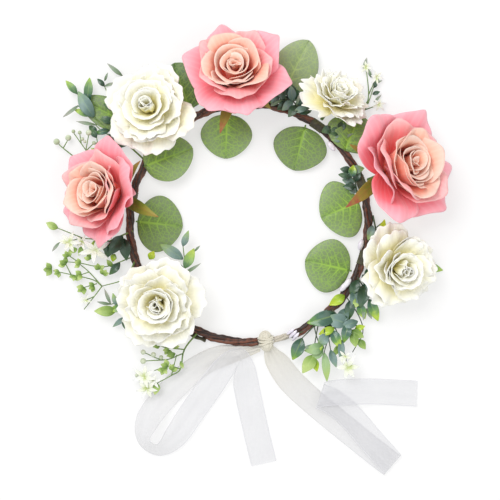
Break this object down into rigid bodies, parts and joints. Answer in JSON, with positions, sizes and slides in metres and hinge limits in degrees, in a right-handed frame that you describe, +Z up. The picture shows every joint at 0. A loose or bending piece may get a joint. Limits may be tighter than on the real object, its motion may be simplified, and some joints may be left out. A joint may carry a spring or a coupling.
{
  "type": "flower crown",
  "caption": "Open vine hoop with wired artificial roses, ruffled white flowers, round leaves and sprigs, tied at the back with an organza ribbon.",
  "frame": {"origin": "on the hoop's axis, in the plane of the surface the crown lies on", "axes": "+Z up along the hoop's axis, +Y towards the front of the crown, opposite the tied opening"},
  "size_m": [0.3084, 0.342, 0.0633],
  "materials": {
    "vine": "dark brown paper-wrapped wire, twisted",
    "rose_petals": "salmon pink polyester petals",
    "rose_heart": "peach cream polyester petals",
    "white_petals": "cream white polyester petals",
    "leaf": "sage green printed polyester",
    "stem": "olive green plastic and floral tape",
    "sprig": "moulded green plastic foliage",
    "ribbon": "sheer cream organza",
    "knot": "gathered cream organza"
  },
  "bodies": {
    "left_arm": {"hoop_left": "vine", "leaf_front_inner": "leaf", "leaf_front_left": "leaf", "leaf_left": "leaf", "leaf_outer_left": "leaf", "leaf_upper_left": "leaf", "ribbon_knot": "knot", "ribbon_left": "ribbon", "ribbon_right": "ribbon", "ribbon_tie": "knot", "sprig_berry_left": "sprig", "sprig_bud_left": "sprig", "sprig_inner_left": "sprig", "sprig_leaf_left": "sprig", "sprig_lower_left": "sprig", "sprig_star_left": "sprig", "sprig_upper_left": "sprig"},
    "right_arm": {"hoop_right": "vine", "leaf_front_outer": "leaf", "leaf_front_right": "leaf", "leaf_lower_right": "leaf", "leaf_right": "leaf", "leaf_upper_right": "leaf", "sprig_box_inner": "sprig", "sprig_box_lower": "sprig", "sprig_box_middle": "sprig", "sprig_box_outer": "sprig", "sprig_front": "sprig", "sprig_right": "sprig", "sprig_upper_right": "sprig"},
    "rose_front": {"rose_front_bud": "rose_heart", "rose_front_middle_petals": "rose_petals", "rose_front_outer_petals": "rose_petals", "rose_front_sepals": "stem", "rose_front_stem": "stem"},
    "rose_left": {"rose_left_bud": "rose_heart", "rose_left_middle_petals": "rose_petals", "rose_left_outer_petals": "rose_petals", "rose_left_sepals": "stem", "rose_left_stem": "stem"},
    "rose_right": {"rose_right_bud": "rose_heart", "rose_right_middle_petals": "rose_petals", "rose_right_outer_petals": "rose_petals", "rose_right_sepals": "stem", "rose_right_stem": "stem"},
    "white_upper_left": {"white_upper_left_inner_petals": "white_petals", "white_upper_left_outer_petals": "white_petals", "white_upper_left_stem": "stem"},
    "white_upper_right": {"white_upper_right_inner_petals": "white_petals", "white_upper_right_outer_petals": "white_petals", "white_upper_right_stem": "stem"},
    "white_right": {"white_right_inner_petals": "white_petals", "white_right_outer_petals": "white_petals", "white_right_stem": "stem"},
    "white_left": {"white_left_inner_petals": "white_petals", "white_left_outer_petals": "white_petals", "white_left_stem": "stem"}
  },
  "joints": [
    {"name": "hoop_flex", "type": "hinge", "parent": "left_arm", "child": "right_arm", "pos_m": [0, 0.0925, 0.0035], "axis": [0, 0, 1], "range_deg": [0, 6]},
    {"name": "rose_front_lean", "type": "hinge", "parent": "left_arm", "child": "rose_front", "pos_m": [-0.00854, 0.09763, 0.0048], "axis": [-0.9962, -0.0872, 0], "range_deg": [-6, 8]},
    {"name": "rose_left_lean", "type": "hinge", "parent": "left_arm", "child": "rose_left", "pos_m": [-0.09596, 0.01987, 0.0048], "axis": [-0.2028, -0.9792, 0], "range_deg": [-6, 5]},
    {"name": "rose_right_lean", "type": "hinge", "parent": "right_arm", "child": "rose_right", "pos_m": [0.09209, 0.03352, 0.0048], "axis": [-0.342, 0.9397, 0], "range_deg": [-6, 3]},
    {"name": "white_upper_left_lean", "type": "hinge", "parent": "left_arm", "child": "white_upper_left", "pos_m": [-0.06429, 0.07396, 0.0048], "axis": [-0.7547, -0.6561, 0], "range_deg": [-6, 8]},
    {"name": "white_upper_right_lean", "type": "hinge", "parent": "right_arm", "child": "white_upper_right", "pos_m": [0.05621, 0.08028, 0.0048], "axis": [-0.8192, 0.5736, 0], "range_deg": [-6, 6]},
    {"name": "white_right_lean", "type": "hinge", "parent": "right_arm", "child": "white_right", "pos_m": [0.09372, -0.02865, 0.0048], "axis": [0.2924, 0.9563, 0], "range_deg": [-6, 6]},
    {"name": "white_left_lean", "type": "hinge", "parent": "left_arm", "child": "white_left", "pos_m": [-0.06732, -0.06061, 0.0077], "axis": [0.6691, -0.7431, 0], "range_deg": [-6, 8]}
  ]
}
